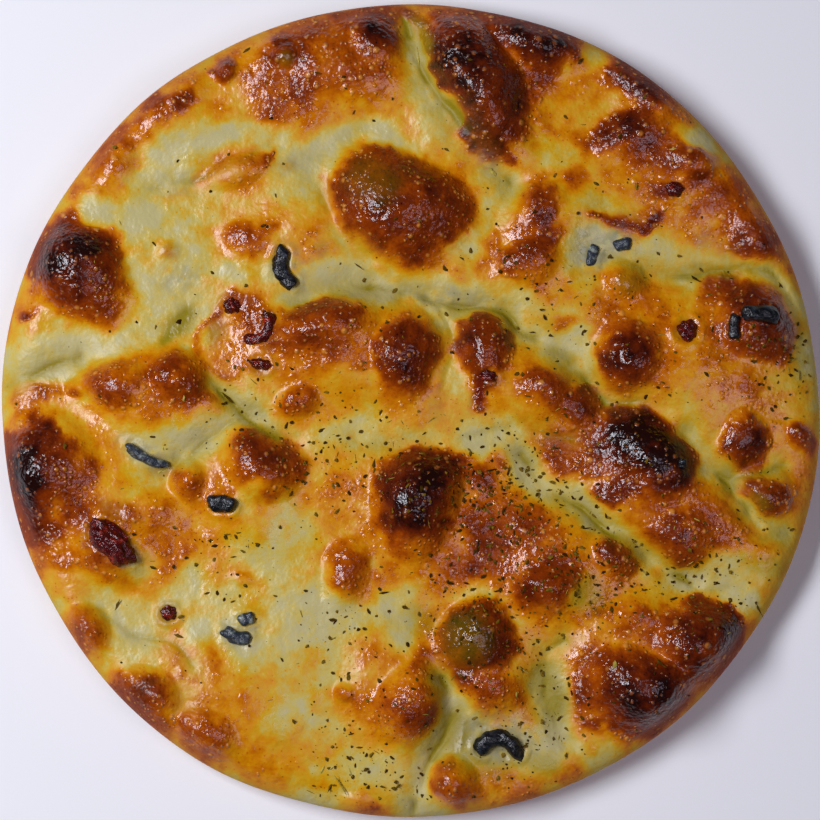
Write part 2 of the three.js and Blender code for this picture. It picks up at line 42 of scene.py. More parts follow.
# The loaf's form. Domes: x, y, half length, half width, turn in degrees, rise, softness of the foot.
crust = {
    "radius": 135,
    "doughHeight": 17.5,
    "crownRise": 2,
    "rimWidth": 11,
    "waistHeight": 9,
    "baseInset": 4,
    "topRings": 150,
    "edgeRows": 16,
    "footRows": 6,
    "baseRings": 12,
    # distance along the skin from one row to the next, and where the foot's rows start
    "edgeRun": 1.2,
    "footRun": 1.8,
    "footStart": 19,
    # the lip of dough round each piece pressed into it
    "lipRise": 0.9,
    "lipSpread": 1.2,
    "lipFullWidth": 5,
    # count round the edge, share of the radius, phase
    "outlineWaves": [
        (2, 0.002, 0.4), (4, 0.0022, 1.9), (6, 0.0018, 0.7), (10, 0.0014, 2.6), (16, 0.001, 1.1),
    ],
    # broad swells between the dimples
    "pillows": [
        # back of the loaf
        [-33, 108, 40, 23, 2, 4, 0.5], [-83, 103, 26, 20, 40, 3, 0.7], [93, 81, 40, 26, -30, 3, 0.7],
        [23, 104, 29, 30, -50, 3, 0.5],
        # left side
        [-86, 2, 28, 21, -5, 4, 0.5], [-104, -31, 36, 33, -30, 3, 0.7],
        # middle
        [-26, 17, 40, 24, 3, 5, 0.5], [-56, -31, 28, 19, -35, 4, 0.6], [3, -36, 28, 30, -10, 3, 0.7],
        [-36, 56, 30, 15, -10, 2, 0.8], [-3, 65, 34, 28, -15, 2, 0.8],
        # right side
        [40, 6, 30, 17, -32, 4, 0.5], [97, 13, 37, 32, 0, 4, 0.45], [83, -30, 36, 26, -38, 4, 0.5],
        [50, -53, 26, 21, -35, 3, 0.7], [45, 58, 20, 22, -35, 3, 0.7],
        # front of the loaf
        [79, -85, 36, 27, 5, 4, 0.5], [23, -85, 21, 23, -20, 3, 0.6], [-53, -93, 50, 36, -20, 3, 0.9],
        [-8, -93, 26, 26, 0, 3, 0.7],
    ],
    # blisters have one value more: how dark they baked, kept lower at (-108.5, 42.5), (-100, -50) and
    # (-48.5, -18.5) as partly painted sheen
    "blisters": [
        # back of the loaf
        [23, 104, 32, 16, -65, 8, 0.25, 0.92], [43, 123, 21, 14, -32, 7, 0.35, 1],
        [-12, 121, 13, 11, 0, 4, 0.7, 0.86], [-41, 115, 6, 6, 0, 3, 0.6, 0.7],
        [-44, 121, 7, 5, 0, 2, 0.9, 0.76], [-62, 112, 5, 6, 0, 3, 0.7, 0.8],
        [-23, 110, 21, 15, 0, 2, 0.7, 0.66], [-68, 93, 17, 7, 0, 1, 0.8, 0.24],
        [-97, 82, 11, 9, 60, 3, 0.7, 0.54], [-58, 77, 17, 5, 20, 3, 0.5, 0.4],
        [73, 88, 16, 9, 25, 2, 0.7, 0.88], [93, 81, 9, 8, 0, 3, 0.5, 0.7],
        [77, 107, 18, 8, -38, 3, 0.6, 0.76],
        # left side
        [-108.5, 42.5, 21, 18, -42, 9, 0.3, 0.78], [-96, 8, 14, 9, -8, 4, 0.35, 0.64],
        [-75, 9, 11, 10, 0, 4, 0.35, 0.7], [-79, 51, 5, 4, 0, 1, 0.9, 0.4],
        [-124, -21, 23, 22, 0, 8, 0.5, 0.84], [-100, -50, 15, 13, -20, 4, 0.7, 0.46],
        [-107, 6, 7, 4, 0, 2, 0.8, 0.4], [-84, -36, 15, 11, 0, 2, 0.9, 0.4],
        [-72, -26, 7, 9, 0, 4, 0.5, 0.6],
        # middle
        [-3.5, 65.5, 27.5, 20, -28, 9, 0.18, 0.84], [-53, 55, 12, 10, -20, 2, 0.9, 0.64],
        [-48.5, -18.5, 18, 13, -35, 7, 0.4, 0.72], [-30, 26, 22, 11, 6, 4, 0.45, 0.74],
        [-1, 17, 12, 18, 0, 5, 0.28, 0.86], [-36, 1, 9, 6, 0, 3, 0.9, 0.62],
        [24, 20, 12, 13, 0, 5, 0.3, 0.82], [2.5, -32, 16.5, 21, -10, 8, 0.3, 0.98],
        [-21, -56, 10, 16, 0, 4, 0.6, 0.7], [30, -36, 17, 17, 0, 1, 0.9, 0.56],
        [24, -26, 9, 8, 0, 1, 0.9, 0.66], [-56, -57, 5, 4, 0, 1, 0.9, 0.5],
        # right side
        [45, -60, 15, 10, 5, 4, 0.7, 0.78], [41, 67, 11, 10, 0, 2, 0.5, 0.7],
        [38, 47, 14, 9, 35, 3, 0.6, 0.68], [45, 6, 12, 9, -25, 3, 0.6, 0.7],
        [56, 0, 9, 8, 0, 2, 0.5, 0.76], [72, 40, 9, 8, 0, 4, 0.5, 0.62],
        [71, 16, 14, 14, -10, 6, 0.55, 0.94], [113, 28, 15, 15, -10, 6, 0.45, 0.86],
        [108, -13, 10, 12, 0, 4, 0.6, 0.86], [116, 57, 11, 15, 30, 3, 0.7, 0.66],
        [117, -28, 12, 9, -15, 4, 0.5, 0.84], [129, -10, 7, 7, 0, 2, 0.7, 0.68],
        [73, -10, 15, 11, 0, 3, 0.45, 1.06], [80, -18, 21, 14, -20, 5, 0.6, 1.02],
        [88, -44, 13, 12, -40, 3, 0.8, 0.88], [67, -49, 10, 10, 0, 5, 0.45, 0.76],
        [74, -68, 15, 6, -5, 1, 0.9, 0.54],
        # front of the loaf
        [-106, -74, 11, 9, -20, 5, 0.4, 0.58], [95, -77, 16, 16, 10, 7, 0.35, 0.92],
        [73, -94, 21, 17, -5, 8, 0.3, 0.96], [22, -75, 14, 14, 10, 6, 0.35, 0.9],
        [26, -93, 15, 10, 0, 2, 0.8, 0.64], [0, -98, 13, 17, 0, 6, 0.5, 0.65],
        [-22, -94, 5, 5, 0, 2, 0.8, 0.3], [-88, -98, 19, 13, -38, 6, 0.4, 0.78],
        [-66, -109, 15, 11, -30, 4, 0.7, 0.6], [14, -125, 10, 13, 0, 5, 0.45, 0.66],
        [37, -129, 11, 7, 0, 3, 0.7, 0.52], [-18, -131, 10, 5, 0, 3, 0.6, 0.6],
    ],
    # depth of each crease, then the points that it passes
    "creases": [
        [5, (-36, 37), (-22, 39), (-7, 39), (5, 36), (17, 33), (30, 31), (37, 25), (48, 21),
         (57, 11), (65, 1)],
        [2, (-17, 89), (-26, 87), (-32, 81), (-33, 73), (-30, 66), (-24, 58), (-14, 49)],
        [5, (-1, 130), (2, 116), (5, 107), (13, 98), (22, 87), (28, 79), (31, 75)],
        [4, (76, 44), (96, 45), (111, 45), (119, 43), (125, 36), (128, 26), (130, 17)],
        [6, (90, -9), (97, -18), (105, -25), (109, -32), (116, -39), (123, -40)],
        [3, (105, -25), (113, -24), (121, -20)],
        [5, (37, -17), (47, -27), (60, -37), (72, -45), (84, -54), (93, -57)],
        [6, (10, -89), (14, -101), (11, -110), (5, -117), (1, -124), (0, -135)],
        [3, (14, -103), (24, -106)],
        [6, (42, -87), (45, -96), (49, -101), (52, -107)],
        [4, (-133, 8), (-122, 10), (-109, 17)],
        [5, (-62, 6), (-56, -1), (-49, -7), (-40, -13)],
        [3, (-55, -3), (-62, -8), (-73, -17)],
        [3, (-17, -12), (-4, -11), (8, -10)],
        [2, (-87, 73), (-74, 73), (-59, 80), (-47, 86)],
        [1, (-81, 26), (-75, 29), (-71, 36)],
        [2, (10, 33), (12, 20), (11, 3), (9, -10)],
        [3, (67, 0), (76, 3), (83, 1)],
        [2, (-105, -66), (-93, -72), (-77, -79), (-73, -85)],
        [2, (-89, -90), (-79, -91), (-70, -100)],
        [2, (53, -10), (36, -7), (20, -10), (7, -11)],
        [2, (109, -60), (96, -59), (85, -54)],
        [3, (43, -87), (43, -79), (50, -76)],
        [2, (63, 50), (76, 46)],
    ],
    # baked patches that don't rise: x, y, half length, half width, turn, softness, how dark
    "patches": [
        # back of the loaf
        [-70, 106, 33, 15, 18, 0.8, 0.38], [-32, 112, 30, 20, 0, 0.6, 0.52],
        [-24, 100, 20, 12, -15, 0.6, 0.46], [-40, 110, 12, 13, 0, 0.8, 0.68],
        [-3, 122, 7, 13, 10, 0.6, 0.4], [-97, 87, 18, 11, 50, 0.8, 0.54], [-20, 130, 40, 9, 0, 0.9, 0.78],
        [30, 131, 30, 7, -10, 0.9, 0.85], [60, 105, 13, 13, 0, 0.9, 0.3],
        [46, 101, 10, 12, -60, 0.9, 0.5], [76, 105, 24, 13, -35, 0.8, 0.52],
        [67, 87, 12, 9, 30, 0.8, 0.76], [29, 87, 7, 9, 10, 0.9, 0.8], [80, 78, 32, 19, -25, 0.8, 0.5],
        [-74, 100, 6, 4, 0, 0.8, 0.9], [-87, 101, 6, 3, 0, 0.8, 0.8], [-42, 121, 5, 4, 0, 0.8, 0.8],
        [-13, 125, 5, 4, 0, 0.8, 1.02], [-14, 112, 8, 6, 0, 0.8, 0.66], [73, 93, 6, 9, -28, 0.8, 0.8],
        [91, 97, 3, 4, 0, 0.8, 0.6], [54, 77, 5, 5, 0, 0.8, 0.56], [48, 93, 5, 4, 0, 0.8, 0.56],
        [71, 106, 11, 8, -20, 0.9, 0.94], [80, 85, 14, 7, -15, 0.9, 0.84], [-46, 97, 9, 6, 0, 0.9, 0.6],
        [31, 121, 6, 8, 0, 0.9, 0.85], [28, 82, 7, 7, 0, 0.8, 0.8], [36, 63, 6, 9, 0, 0.9, 0.5],
        [37, 76, 6, 5, 0, 0.9, 0.6], [42, 111, 9, 7, -40, 0.9, 0.7],
        # left side
        [-113, 71, 5, 5, 0, 0.9, 0.56], [-113, 50, 12, 10, -40, 0.9, 0.92],
        [-86, 7, 26, 12, -5, 0.7, 0.34], [-112, -2, 20, 8, -15, 0.8, 0.3], [-121, 4, 12, 6, 0, 0.9, 0.72],
        [-115, 59, 6, 5, 40, 0.8, 0.8], [-80, 66, 34, 24, 0, 0.9, 0.2], [-86, 92, 14, 9, 40, 0.9, 0.32],
        [-104, -17, 18, 18, -20, 0.8, 0.4], [-130, 3, 8, 11, 0, 0.8, 0.6],
        [-127, -23, 15, 13, -30, 0.8, 1.1], [-84, -41, 22, 15, -20, 0.8, 0.4],
        [-94, -54, 20, 13, -20, 0.8, 0.44], [-124, -42, 14, 12, -50, 0.8, 0.96],
        [-110, -30, 9, 13, 0, 0.9, 0.72], [-116, -47, 17, 15, -50, 0.8, 0.56],
        [-127, 33, 4, 3, 0, 0.8, 0.9], [-126, 35, 7, 6, 0, 0.8, 0.5], [-104, -18, 3, 5, 10, 0.8, 0.66],
        [-107, 3, 3, 2, -20, 0.8, 0.62], [-78, -84, 7, 15, 0, 0.9, 0.62],
        [-96, -34, 10, 5, -20, 0.8, 0.62], [-68, 2, 8, 6, 0, 0.9, 0.74], [-60, -12, 7, 7, 0, 0.9, 0.42],
        [-62, -58, 8, 6, 0, 0.9, 0.42], [-79, -50, 9, 7, 0, 0.9, 0.5],
        # middle
        [30, 3, 13, 10, -30, 0.9, 0.34], [-26, 20, 36, 20, 3, 0.7, 0.36], [-17, 18, 10, 9, 0, 0.8, 0.54],
        [-48, 58, 24, 12, -15, 0.9, 0.3], [-54, 31, 12, 8, -20, 0.8, 0.6], [-55, 18, 9, 9, 0, 0.8, 0.44],
        [-57, 26, 7, 7, 0, 0.9, 0.54], [-36, -5, 9, 5, 0, 0.9, 0.42], [-60, -36, 17, 17, -20, 0.9, 0.24],
        [-23, -36, 11, 10, 0, 0.8, 0.48], [-28, -66, 20, 13, -20, 0.9, 0.2],
        [10, -52, 16, 9, 0, 0.8, 0.62], [22, 3, 3, 9, -25, 0.8, 0.55], [25, 9, 5, 4, 0, 0.8, 0.9],
        [27, -18, 7, 4, 0, 0.9, 0.66], [25, -46, 8, 9, 0, 0.9, 0.8], [32, -52, 12, 9, 0, 0.9, 0.66],
        [-29, 52, 5, 4, 0, 0.9, 0.36], [-14, -59, 9, 7, 0, 0.9, 0.52],
        # right side
        [117, 72, 11, 16, 30, 0.8, 0.46], [78, 65, 18, 7, -10, 0.9, 0.4],
        [102, 66, 15, 13, -30, 0.8, 0.66], [126, 50, 6, 14, 20, 0.8, 0.5], [93, 30, 23, 20, 0, 0.7, 0.42],
        [103, 5, 30, 17, 0, 0.8, 0.38], [76, 36, 17, 17, 0, 0.8, 0.5], [102, 41, 10, 8, 0, 0.8, 0.8],
        [120, -9, 18, 23, 0, 0.8, 0.32], [126, -28, 13, 20, 10, 0.8, 0.48],
        [103, -41, 30, 17, -38, 0.7, 0.5], [56, 8, 12, 14, -40, 0.8, 0.44],
        [93, -30, 23, 17, -30, 0.7, 0.62], [58, -12, 24, 12, -20, 0.7, 0.7], [70, 4, 14, 9, 0, 0.8, 0.68],
        [43, 10, 23, 11, -30, 0.7, 0.44], [36, -43, 26, 17, -30, 0.8, 0.52],
        [60, -83, 20, 9, 0, 0.8, 0.72], [53, -63, 22, 10, -10, 0.8, 0.36],
        [78, -70, 30, 10, -5, 0.8, 0.48], [90, -68, 11, 8, 0, 0.8, 0.56],
        [111, -76, 7, 14, -20, 0.8, 0.42], [50, 58, 10, 20, -30, 0.8, 0.3], [51, 28, 5, 4, 0, 0.8, 0.66],
        [34, 44, 20, 10, 30, 0.7, 0.48], [83, 71, 10, 4, 0, 0.8, 0.64], [79, 62, 4, 3, 0, 0.8, 0.9],
        [93, 73, 5, 4, 0, 0.8, 0.86], [113, 54, 8, 9, 0, 0.9, 0.76], [44, 63, 4, 4, 0, 0.8, 0.8],
        [45, 53, 7, 5, 30, 0.8, 0.72], [43, 71, 6, 5, 0, 0.8, 0.72], [67, -28, 7, 4, 20, 0.7, 0.96],
        [89, -20, 5, 6, 0, 0.7, 1], [62, -67, 4, 3, 0, 0.8, 0.62], [37, -37, 7, 6, -20, 0.9, 0.62],
        [54, 1, 6, 5, 0, 0.8, 0.78], [49, -54, 7, 7, 0, 0.8, 0.66], [74, -16, 18, 11, -20, 0.9, 0.98],
        [103, 22, 8, 11, -10, 0.9, 0.6], [103, 5, 5, 5, 0, 0.8, 0.56], [118, 22, 8, 10, 0, 0.9, 0.74],
        [110, -10, 6, 7, 0, 0.9, 0.9], [65, 26, 9, 12, 0, 0.9, 0.66], [109, -16, 8, 16, 0, 0.8, 0.72],
        [112, 7, 7, 10, 0, 0.9, 0.56], [85, -50, 7, 8, 0, 0.9, 0.78], [46, -29, 7, 11, -40, 0.9, 0.56],
        [94, -88, 11, 6, -30, 0.9, 0.84],
        # front of the loaf, where on the left the patches are kept pale, partly as painted sheen
        [50, -79, 11, 8, 0, 0.9, 0.38], [33, -95, 17, 11, 0, 0.8, 0.48],
        [76, -106, 19, 7, -20, 0.8, 0.78], [-58, -84, 24, 12, -20, 0.9, 0.16],
        [-99, -93, 16, 7, -50, 0.8, 0.36], [-60, -100, 23, 12, -30, 0.8, 0.42],
        [-46, -116, 26, 10, -25, 0.8, 0.42], [-13, -97, 17, 14, -15, 0.7, 0.47],
        [-10, -80, 10, 7, 0, 0.9, 0.4], [28, -125, 20, 9, 5, 0.8, 0.54], [49, -118, 8, 6, 0, 0.9, 0.54],
        [3, -103, 7, 8, 0, 0.9, 0.74], [15, -129, 5, 5, 0, 0.9, 0.66], [14, -84, 9, 9, 0, 0.9, 0.76],
        [84, -72, 8, 8, 0, 0.9, 0.72], [-11, -111, 10, 6, 0, 0.9, 0.42], [-22, -115, 9, 6, 0, 0.9, 0.4],
        [12, -108, 4, 9, 10, 0.9, 0.46], [15, -104, 4, 9, 0, 0.8, 0.44], [44, -69, 10, 6, 0, 0.9, 0.6],
        [55, -96, 7, 10, 0, 0.9, 0.72], [4, -73, 9, 8, 0, 0.9, 0.6], [2, -82, 8, 7, 0, 0.9, 0.64],
        [41, -3, 9, 5, -20, 0.9, 0.5], [86, 15, 8, 8, 0, 0.9, 0.52],
    ],
    # browned folds: half width, how dark, then the points that the fold passes
    "streaks": [
        [2, 0.58, (-60, 37), (-65, 31), (-67, 24), (-65, 16), (-61, 12)],
        [1.8, 0.5, (-73, 71), (-64, 76), (-54, 78), (-44, 82)], [1.3, 0.7, (-46, 80), (-42, 84)],
        [1.8, 0.72, (60, 61), (68, 62), (78, 61)], [1.8, 0.62, (86, 86), (92, 82), (95, 76)],
        [1.5, 0.8, (24, 8), (22, 3), (20, -1)], [2, 0.5, (-24, 75), (-25, 66), (-20, 57)],
        [2.4, 0.6, (84, 98), (91, 95)], [2, 0.55, (-92, 96), (-84, 98), (-76, 98)],
        [3, 0.75, (0, 132), (4, 126), (8, 118)], [1.6, 0.66, (45, 57), (50, 52)],
    ],
    # dough that stayed pale, and in the front left also painted sheen: x, y, half length, half width, turn,
    # share of the browning lost
    "paleDoughAndSheen": [
        [-77, 42, 13, 13, 0, 0.8], [-77, 85, 20, 7, 8, 0.75], [-84, 74, 12, 6, 0, 0.8],
        [-110, 20, 22, 7, 10, 0.7], [-12, 88, 22, 5, 0, 0.6], [10, 92, 16, 6, -50, 0.7],
        [37, 82, 10, 5, 20, 0.6], [22, 56, 3, 20, 0, 0.5], [20, 39, 30, 5, -15, 0.75],
        [-20, 41, 20, 5, 0, 0.7], [62, 51, 11, 8, 10, 0.9], [91, 52, 13, 5, 0, 0.6],
        [59, 17, 3, 9, 25, 0.4], [40, -23, 15, 6, -45, 0.7], [60, -36, 9, 5, -30, 0.8],
        [97, -56, 17, 6, -5, 0.7], [58, -62, 5, 9, 10, 0.6], [104, -21, 9, 3, -40, 0.5],
        [-38, -50, 12, 22, -10, 0.6], [-30, -70, 14, 14, 0, 0.8], [-79, -11, 18, 10, 10, 0.9],
        [-60, -62, 9, 8, 0, 0.6], [-82, -62, 15, 7, 0, 0.6], [-20, -118, 20, 8, 0, 0.5],
        [9, -109, 8, 9, 0, 0.7], [36, -114, 18, 6, 0, 0.7], [-4, -72, 9, 8, 0, 0.7],
        [-100, -65, 14, 5, -30, 0.6], [46, -94, 6, 12, 10, 0.7], [-14, -10, 25, 5, 0, 0.6],
        [62, 112, 9, 5, -40, 0.5], [-57, 26, 4, 4, 0, 0.3], [-53, -29, 6, 6, 0, 0.7],
        [-40, 34, 6, 4, 0, 0.6], [-60, 42, 8, 5, 0, 0.7], [-14, 8, 16, 5, 0, 0.35],
        [-56, -75, 12, 9, 0, 0.85], [-38, -98, 22, 12, -20, 0.6], [62, 68, 7, 5, 0, 0.6],
        [66, -121, 13, 3.5, -25, 0.7], [-118, -7, 9, 3, -10, 0.6], [-106, 66, 6, 6, 0, 0.7],
        [-60, 87, 10, 4, 15, 0.9], [-90, 62, 8, 7, 0, 0.7], [15, 5, 4, 12, 0, 0.5],
        [-92, -50, 10, 8, -30, 0.5], [95, 90, 7, 5, -40, 0.5], [110, -66, 6, 6, 0, 0.8],
        [80, -65, 9, 4, 0, 0.5], [47, 87, 8, 9, 0, 0.4], [62, 94, 5, 6, 0, 0.4], [126, 18, 5, 10, 0, 0.5],
        [-26, -130, 18, 4, 5, 0.6], [17, -16, 5, 5, 0, 0.7], [93, 91, 7, 4, -35, 0.7],
        [103, -63, 7, 5, 0, 0.7], [-67, -76, 8, 6, 0, 0.8],
    ],
    # thin tints: x, y, half length, half width, turn, strength. Besides pooled oil, the oil is painted
    # shade in some creases and round olive 10
    "oilAndShadePools": [
        [-76, 28, 8, 4.6, 40, 1.1], [-79, 24, 6, 2.6, 60, 1], [72, 41, 6, 5, 0, 0.4],
        [-41, 114, 3, 3, 0, 0.3], [17, -76, 10, 11, 0, 0.27], [3, -70, 7, 6, 0, 0.5],
        [25, -114, 16, 9, 0, 0.5], [15, -106, 6, 10, 0, 1.1], [46, -93, 6, 13, 15, 1.05],
        [3, 121, 4, 11, 10, 0.7], [43, -116, 8, 5, 0, 0.5], [-54, -1, 8, 4, -30, 0.6],
        [114, -32, 5, 4, -20, 0.35], [-12, 74, 12, 9, -20, 0.18], [58, -62, 6, 8, 10, 0.5],
        [-80, -19, 9, 4, 20, 0.6], [116, -52, 12, 4, -10, 0.4], [100, 45, 22, 3, 0, 0.6],
        [-55, 0, 6, 3, -40, 0.7],
    ],
    "stains": [
        [-96, -35, 9, 5, -20, 0.45], [-99, -45, 12, 8, -40, 0.5], [-64, 27, 3, 9, -5, 0.45],
        [-56, 34, 8, 4, -10, 0.4], [-46, 24, 5, 8, 0, 0.5], [23, 5, 3, 8, -25, 0.6],
        [-79, 51, 4, 3, 0, 0.3], [-29, 51, 3, 3, 0, 0.3], [68, -28, 4, 2, 20, 0.6],
        [91, 25, 5, 5, 0, 0.5], [-79, -68, 4, 4, 0, 0.5], [26, 9, 5, 3, 0, 0.6], [86, 71, 5, 4, 0, 0.6],
        [-41, 80, 5, 4, 20, 0.25], [-49, 13, 5, 4, 0, 0.5], [72, 61, 10, 3, 0, 0.3],
    ],
    "films": [
        [59, 51, 6, 8, 0, 0.55], [69, 55, 6, 5, 0, 0.55], [-87, -16, 11, 5, -30, 0.55],
        [-56, -73, 8, 6, 20, 0.5], [-40, 46, 8, 10, 15, 0.4], [29, -108, 14, 10, 0, 0.5],
        [96, 55, 4, 4, 0, 0.3], [25, 80, 6, 4, -40, 0.3], [-34, 82, 14, 5, 20, 0.1],
        [-76, 73, 12, 5, 0, 0.2], [-76, 43, 9, 7, 0, 0.25], [12, 36, 20, 4, -8, 0.25],
    ],
}


def paint(red, green, blue):  # a colour as seen on a screen, 0 to 255
    linear = [((c / 255 + 0.055) / 1.055) ** 2.4 if c > 10 else c / 255 / 12.92 for c in (red, green, blue)]
    return (*linear, 1)


def ease(low, high, value):
    share = np.clip((value - low) / (high - low), 0, 1)
    return share * share * (3 - 2 * share)


def cloud(x, y, size, seed, layers):  # soft random field, about -0.5 to 0.5
    total = 0
    for layer in range(layers):
        table = np.random.default_rng(seed + layer).random((64, 64))
        u = x * 2**layer / size + 1000
        v = y * 2**layer / size + 1000
        column = np.floor(u).astype(int)
        row = np.floor(v).astype(int)
        right = ease(0, 1, u - column)
        up = ease(0, 1, v - row)
        near = table[row % 64, column % 64] * (1 - right) + table[row % 64, (column + 1) % 64] * right
        row = row + 1
        far = table[row % 64, column % 64] * (1 - right) + table[row % 64, (column + 1) % 64] * right
        total = total + (near * (1 - up) + far * up - 0.5) / 2**layer
    return total


def wander(x, y):  # makes the outlines of swells, blisters and creases uneven
    return (
        x + 1.3 * np.sin(y / 6.3 + 1.1 * np.sin(x / 9)),
        y + 1.3 * np.sin(x / 7.1 + 2 + 1.2 * np.sin(y / 8)),
    )


def reachInto(x, y, form):  # 0 in the middle of an oval form, 1 at its foot
    angle = math.radians(form[4])
    east = x - form[0]
    north = y - form[1]
    along = (east * math.cos(angle) + north * math.sin(angle)) / form[2]
    across = (north * math.cos(angle) - east * math.sin(angle)) / form[3]
    return np.hypot(along, across)


def farSide(x, y, form, low, high):  # 1 on the side away from the viewer
    return ease(low, high, (y - form[1]) / (np.hypot(x - form[0], y - form[1]) + 1))


def domeHeight(x, y, form):
    rise, soft = form[5:7]
    far = farSide(x, y, form, -0.6, 0.6)
    cap = np.clip(1 - reachInto(x, y, form) ** (2 + 0.8 * far * (1 - soft)), 0, None)
    cap = 1.4 * cap * cap / (cap + 0.4)  # eases the foot into the dough
    return rise * cap ** (1.05 + soft - (0.1 + 0.4 * soft) * far)


def pathDistance(x, y, points):
    nearest = np.full(np.shape(x), 1e9)
    for (x0, y0), (x1, y1) in zip(points, points[1:]):
        share = ((x - x0) * (x1 - x0) + (y - y0) * (y1 - y0)) / ((x1 - x0) ** 2 + (y1 - y0) ** 2)
        share = np.clip(share, 0, 1)
        nearest = np.minimum(nearest, np.hypot(x - x0 - share * (x1 - x0), y - y0 - share * (y1 - y0)))
    return nearest


def creaseCuts(x, y):  # how deep the folds between the swells are, and how sharp
    x = x + 2.2 * cloud(x, y, 11, 31, 3)
    y = y + 2.2 * cloud(x, y, 11, 41, 3)
    broad = np.zeros(np.shape(x))
    sharp = np.zeros(np.shape(x))
    for depth, *points in crust["creases"]:
        away = pathDistance(x, y, points)
        broad = np.maximum(broad, depth * np.exp(-(away / 5) ** 2))
        sharp = np.maximum(sharp, depth * np.exp(-away ** 2))
    return broad, sharp * ease(-0.2, 0.25, cloud(x, y, 12, 45, 2))


def pressedPieces():  # x, y, bend radius, length, width and turn of each topping
    straight = 50  # bend radius that leaves a lump nearly straight
    bars = [*olives.values(), *tomatoCurls.values()]
    pieces = [(x, y, bend, length, width, turn) for x, y, bend, length, width, high, turn, lift in bars]
    for x, y, long, wide, high, turn, lift in tomatoLumps.values():
        pieces.append((x, y, straight, 2 * long, 2 * wide, turn))
    return pieces


def doughLip(x, y):  # the dough that stands up round the pieces pressed into it
    lip = np.zeros(np.shape(x))
    for px, py, bend, length, width, turn in pressedPieces():
        bow = np.linspace(-0.5, 0.5, 6) * max(length - width, 1) / bend
        along = bend * np.sin(bow)
        across = bend * (np.cos(bow) - 1)
        angle = math.radians(turn)
        east = px + along * math.cos(angle) - across * math.sin(angle)
        north = py + along * math.sin(angle) + across * math.cos(angle)
        away = pathDistance(x, y, list(zip(east, north))) - width / 2
        full = min(width / crust["lipFullWidth"], 1)
        lip = np.maximum(lip, full * np.exp(-((away - 1) / crust["lipSpread"]) ** 2))
    return lip * ease(-0.4, 0.2, cloud(x, y, 5, 321, 2))


def crustHeight(x, y):
    lip = crust["lipRise"] * doughLip(x, y)
    x, y = wander(x, y)
    crown = crust["crownRise"] * (1 - (x * x + y * y) / crust["radius"] ** 2)
    waves = 0.8 * np.sin(x / 13 + 1) * np.cos(y / 17) + 0.5 * np.sin((x + 2 * y) / 15)
    pillows = np.cbrt(sum(domeHeight(x, y, form) ** 3 for form in crust["pillows"]))
    blisters = np.cbrt(sum(domeHeight(x, y, form) ** 3 for form in crust["blisters"]))
    broad, sharp = creaseCuts(x, y)
    height = crust["doughHeight"] + crown + waves + pillows + blisters - 0.38 * broad - 0.2 * sharp
    # lumps that the proof left in the skin
    return height + lip + 0.6 * cloud(x, y, 8, 301, 2) + 0.3 * cloud(x, y, 3, 311, 3) * ease(20, 25, height)


def outline(angle):
    radius = crust["radius"]
    return radius + sum(radius * share * np.cos(count * angle + phase)
                        for count, share, phase in crust["outlineWaves"])


def skinHeight(x, y):  # the crust's height, falling away round the rim
    inset = outline(np.arctan2(y, x)) - np.hypot(x, y)
    fall = 1 - np.clip(inset / crust["rimWidth"], 0, 1)
    return crust["waistHeight"] + (crustHeight(x, y) - crust["waistHeight"]) * np.sqrt(1 - fall * fall)


def tint(x, y, spots):  # soft ovals of oil, in places painted shade, of tomato stain and of dough skin
    x = x + 2.4 * cloud(x, y, 6, 61, 3)
    y = y + 2.4 * cloud(x, y, 6, 66, 3)
    strength = np.zeros(np.shape(x))
    for spot in spots:
        strength = np.maximum(strength, spot[5] * (1 - ease(0.3, 1.25, reachInto(x, y, spot))))
    return strength


def crustBrowning(x, y, height):  # 0 pale dough, 0.5 orange, 1 charred
    x, y = wander(x, y)
    brown = 0.1 + 0.34 * ease(16.5, 24, height + 5 * cloud(x, y, 13, 101, 4))
    shiftX = x + 5 * cloud(x, y, 17, 11, 2) + 2 * cloud(x, y, 4.5, 13, 3)
    shiftY = y + 5 * cloud(x, y, 17, 21, 2) + 2 * cloud(x, y, 4.5, 23, 3)
    ragged = 0.24 * cloud(x, y, 10, 71, 2) + 0.13 * cloud(x, y, 3, 81, 3)
    mottled = 0.12 * cloud(x, y, 5, 91, 3)
    for form in crust["blisters"]:
        soft, dark = form[6:8]
        far = farSide(shiftX, shiftY, form, -0.7, 0.5)
        reach = reachInto(shiftX, shiftY, form) + ragged
        edge = np.clip(soft * (1.35 - 0.75 * far) + 0.14, 0.1, 1)
        inside = 1 - ease(1 - edge, 1.08 + 0.7 * soft * (1 - far), reach)
        tone = dark + mottled - (dark - 0.5) * np.clip(reach, 0, 1) ** (3.4 - 1.4 * soft)
        # the near side of each blister is paler, partly painted sheen
        tone = tone - 0.12 * (1 - far) * np.clip(reach, 0, 1)
        brown = brown + np.clip(tone - brown, 0, None) * inside
    for form in crust["patches"]:
        soft, dark = form[5:7]
        inside = 1 - ease(1 - soft, 1 + 0.4 * soft, reachInto(shiftX, shiftY, form) + ragged)
        brown = brown + np.clip(dark + mottled - brown, 0, None) * inside * 0.85
    for width, dark, *points in crust["streaks"]:
        away = pathDistance(shiftX, shiftY, points) / width + 2 * ragged
        brown = brown + np.clip(dark + mottled - brown, 0, None) * np.exp(-away * np.abs(away))
    stillBrown = ease(0.5, 0.8, brown)
    # pale dough, and in the front left paler spots of painted sheen
    for form in crust["paleDoughAndSheen"]:
        inside = 1 - ease(0.2, 1.3, reachInto(shiftX, shiftY, form) + ragged)
        brown = brown * (1 - form[5] * inside * (1 - stillBrown))
    return brown


